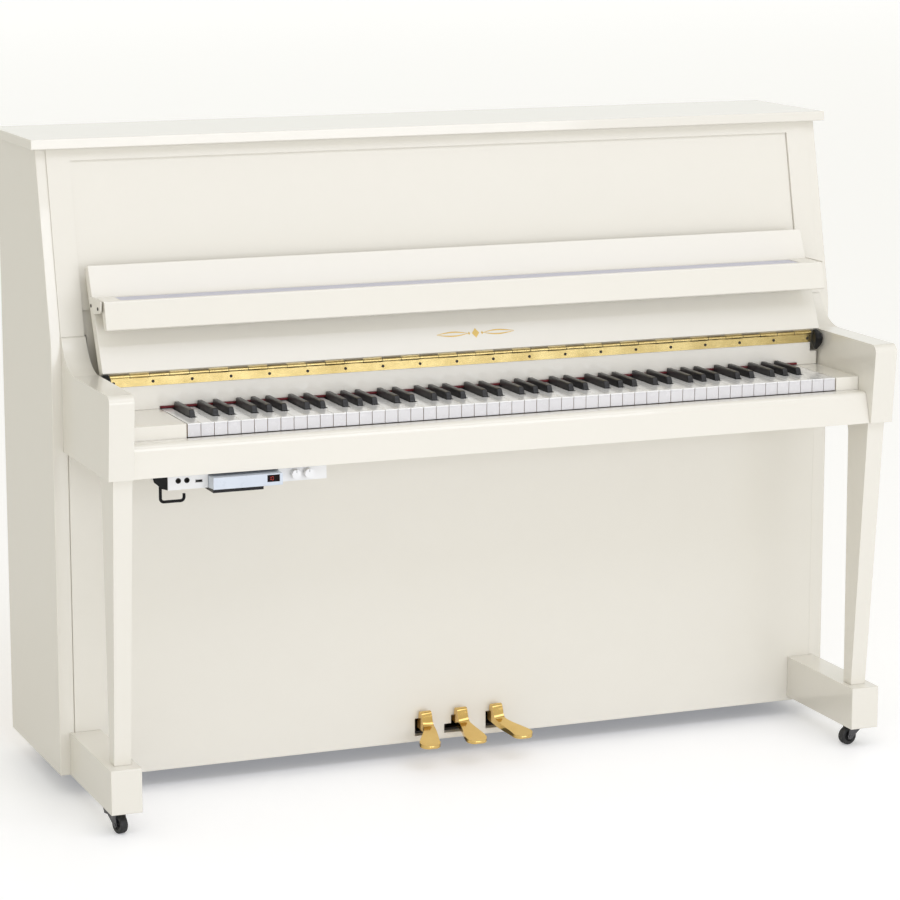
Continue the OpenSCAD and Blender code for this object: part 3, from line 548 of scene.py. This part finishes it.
# ---------------------------------------------------------------- fallboard ornament and soft-close levers
FALL = Matrix.Translation((0, HINGE_Y, HINGE_Z)) @ Matrix.Rotation(math.radians(FALL_LEAN), 4, "X")
s = Shape()
s.frame = FALL


def on_board(outline, h=0.35):
    s.prism(outline, -10 - h, -9.9, "y")


def lozenge(x, z, w, h):
    return [(x - w, z), (x, z - h), (x + w, z), (x, z + h)]


def curl(x0, z0, x1, z1, side):
    """A thin stroke that swells in its middle and ends in two points."""
    top, low = [], []
    for k in range(13):
        t = k / 12
        x, z = x0 + (x1 - x0) * t, z0 + (z1 - z0) * t + side * 4.2 * math.sin(math.pi * t) * (1 - 0.35 * t)
        w = 0.25 + 0.95 * math.sin(math.pi * t)
        top.append((x, z + w))
        low.append((x, z - w))
    return top + low[::-1]


for outline in (lozenge(3, 36, 7.0, 9.0), lozenge(-9.5, 36, 2.3, 3.2), lozenge(15.5, 36, 2.3, 3.2)):
    on_board(outline)
for side in (-1, 1):
    for k in (-1, 1):
        on_board(curl(3 + k * 14.5, 36, 3 + k * 74, 36 + side * 0.4, side))
s.build("fallboard_ornament", "fall", [gold_leaf], 0, slot="brass")
# height, front and rear in Y, and inner and outer in X, down the right-hand lever
LEVER_RINGS = ((762.0, -110.5, -104.6, 674.6, 684.0), (757.0, -120.0, -104.0, 673.6, 687.0),
               (748.0, -123.8, -103.6, 673.3, 688.4), (739.0, -121.5, -103.6, 673.8, 688.0),
               (730.5, -115.5, -104.6, 676.4, 685.0), (726.2, -111.5, -107.5, 678.6, 682.6))
s = Shape()
for side in (-1, 1):
    rings = []
    for z, front, rear, inner, outer in LEVER_RINGS:
        cut = min(3.2, (outer - inner) / 3, (rear - front) / 3)
        rings.append([(side * x, y, z) for x, y in (
            (inner + cut, front), (outer - cut, front), (outer, front + cut),
            (outer, rear - cut / 2), (outer - cut / 2, rear), (inner + cut / 2, rear),
            (inner, rear - cut / 2), (inner, front + cut))])
    s.loft(rings)
s.build("soft_close_levers", "fall", [black_plastic], 0.7, 2, "black_plastic", 18,
        stands_for=["fall_dampers"])

# ---------------------------------------------------------------- control unit details
s = Shape()
for x in JACKS_X:
    s.mat = 0
    s.ring([(3.25, 0.2), (3.25, -0.7), (3.9, -0.9), (4.6, -0.5), (4.8, 0.2)],
           (x, UNIT_FACE_Y, JACK_Z), (0, 1, 0), 32)
    s.mat = 1
    s.ring([(3.22, -0.4), (3.22, 7.6), (2.9, 7.6), (2.9, -0.2)], (x, UNIT_FACE_Y, JACK_Z), (0, 1, 0), 32)
    s.lathe([(3.2, 7.5), (3.2, 8.2), (1.0, 8.4)], (x, UNIT_FACE_Y, JACK_Z), (0, 1, 0), 24)
s.mat = 2
x0, x1, z0, z1 = -578.2, -565.8, 602.1, 606.9
for a in ((x0, x1, z0, z0 + 0.5), (x0, x1, z1 - 0.5, z1),
          (x0, x0 + 0.5, z0 + 0.5, z1 - 0.5), (x1 - 0.5, x1, z0 + 0.5, z1 - 0.5)):
    s.box(a[0], a[1], -282.3, -266, a[2], a[3])
s.mat = 0
s.box(x0 + 1.2, x1 - 1.2, -280.5, -266, z1 - 2.2, z1 - 0.6)
s.box(x0 + 0.6, x1 - 0.6, -266, -264.8, z0, z1)
s.build("socket_trim", "cabinet", [black_plastic, dark_parts_and_shade, nickel], 0, slot="unit_silver")

s = Shape()


def digit(x, z, w, h, lit):
    t = 0.42
    for k in lit:
        if k in "adg":
            zc = z + {"a": h, "g": h / 2, "d": 0}[k]
            s.prism([(x + t, zc), (x + 2 * t, zc - t), (x + w - 2 * t, zc - t), (x + w - t, zc),
                     (x + w - 2 * t, zc + t), (x + 2 * t, zc + t)], WINDOW_Y, WINDOW_Y + 0.2, "y")
        else:
            xc = x + (w if k in "bc" else 0)
            lo = z + (h / 2 if k in "bf" else 0)
            s.prism([(xc, lo + t), (xc + t, lo + 2 * t), (xc + t, lo + h / 2 - 2 * t), (xc, lo + h / 2 - t),
                     (xc - t, lo + h / 2 - 2 * t), (xc - t, lo + 2 * t)], WINDOW_Y, WINDOW_Y + 0.2, "y")


digit(-458.6, 601.9, 3.2, 6.2, "bc")
digit(-453.4, 601.9, 3.2, 6.2, "abcdef")
s.build("display_digits", "drawer", [glow], 0, slot="display")
s = Shape()
s.lathe([(1.5, 0), (1.5, 0.5), (1.1, 0.8)], (-444, -309.8, 605), (0, -1, 0), 20)
s.build("display_sensor", "drawer", [dark_window], 0, slot="display")
for body, x in KNOBS:
    s = Shape()
    s.box(x - 0.35, x + 0.35, -295.12, -294.9, 607.6, 612.2)
    s.build(body + "_pointer", body, [black_plastic], 0, slot="unit_silver")

# ---------------------------------------------------------------- plate bolts and back screws
s = Shape()
for i in range(10):
    for z, r in ((180, 8.6), (980, 6.6)):
        s.lathe([(r, -6), (r, 0.5), (r * 0.96, 2.5), (r * 0.7, 5.0), (r * 0.3, 6.2)],
                (-648 + 144 * i, 185, z), (0, -1, 0), 6 if r > 8 else 24)
s.build("plate_bolts", "cabinet", [nickel], 0, slot="string_steel")
s = Shape()
for i in range(-2, 3):
    for z in (62, 128, 1010, 1104):
        for dx in (-16, 16):
            s.lathe([(5.2, -1), (5.2, 0.05), (4.0, 0.35), (1.5, 0.45)], (POST_PITCH * i + dx, BACK_Y, z),
                    (0, 1, 0), 20)
s.build("back_screws", "cabinet", [steel], 0, slot="action_metal")

# ---------------------------------------------------------------- camera, light and floor
def scaled(tree, socket, factor):
    m = tree.nodes.new("ShaderNodeMath")
    m.operation = "MULTIPLY"
    m.inputs[1].default_value = factor
    tree.links.new(socket, m.inputs[0])
    return m.outputs[0]


cam = bpy.data.objects.new("camera", bpy.data.cameras.new("camera"))
bpy.context.scene.collection.objects.link(cam)
cam.location = (-2.1513, -5.3200, 1.6745)
cam.rotation_euler = (math.radians(90 - 10.943), 0, math.radians(-21.955))
cam.data.lens, cam.data.sensor_width = 128.77, 36.0
cam.data.clip_start, cam.data.clip_end = 0.1, 200.0
bpy.context.scene.camera = cam

floor_mat = plastic("pale_floor", (0.93, 0.93, 0.94), (0.925, 0.925, 0.935), (0.5, 0.6), 40.0, 0.02)
ft = floor_mat.node_tree
floor_bsdf = ft.nodes["Principled BSDF"]
floor_bsdf.inputs["Emission Color"].default_value = (0.93, 0.95, 1.0, 1)
ft.links.new(scaled(ft, ft.nodes.new("ShaderNodeLightPath").outputs["Is Camera Ray"], 0.25),
             floor_bsdf.inputs["Emission Strength"])
me = bpy.data.meshes.new("floor")
me.from_pydata([(-60, -60, 0), (60, -60, 0), (60, 60, 0), (-60, 60, 0)], [], [(0, 1, 2, 3)])
me.materials.append(floor_mat)
floor = bpy.data.objects.new("floor", me)
bpy.context.scene.collection.objects.link(floor)

world = bpy.data.worlds.new("studio")
bpy.context.scene.world = world
world.use_nodes = True
wt = world.node_tree
back = wt.nodes["Background"]
back.inputs["Color"].default_value = (1.0, 0.975, 0.88, 1)
back.inputs["Strength"].default_value = 0.72
seen = wt.nodes.new("ShaderNodeBackground")
seen.inputs["Color"].default_value = (1.0, 1.0, 1.0, 1)
pick, path = wt.nodes.new("ShaderNodeMixShader"), wt.nodes.new("ShaderNodeLightPath")
wt.links.new(path.outputs["Is Camera Ray"], pick.inputs[0])
wt.links.new(back.outputs[0], pick.inputs[1])
wt.links.new(seen.outputs[0], pick.inputs[2])
wt.links.new(pick.outputs[0], wt.nodes["World Output"].inputs[0])


def area(name, place, aim, size, power, colour):
    d = bpy.data.lights.new(name, "AREA")
    d.shape, d.size, d.size_y, d.energy, d.color = "RECTANGLE", size[0], size[1], power, colour
    o = bpy.data.objects.new(name, d)
    bpy.context.scene.collection.objects.link(o)
    o.location = place
    o.rotation_euler = (Vector(aim) - Vector(place)).to_track_quat("-Z", "Y").to_euler()
    o.visible_camera = False


area("front_fill", (0.4, -7.0, 1.4), (0, 0, 0.5), (6.0, 2.6), 150, (0.86, 0.89, 1.0))
area("top_box", (0.3, -2.4, 3.6), (0, -0.2, 0.7), (4.4, 1.6), 35, (0.8, 0.83, 1.0))
area("back_wall", (0, 27.0, 6.6), (0, 0, 1.2), (43.0, 10.8), 490, (0.8, 0.88, 1.0))
bpy.context.scene.view_settings.view_transform = "Standard"
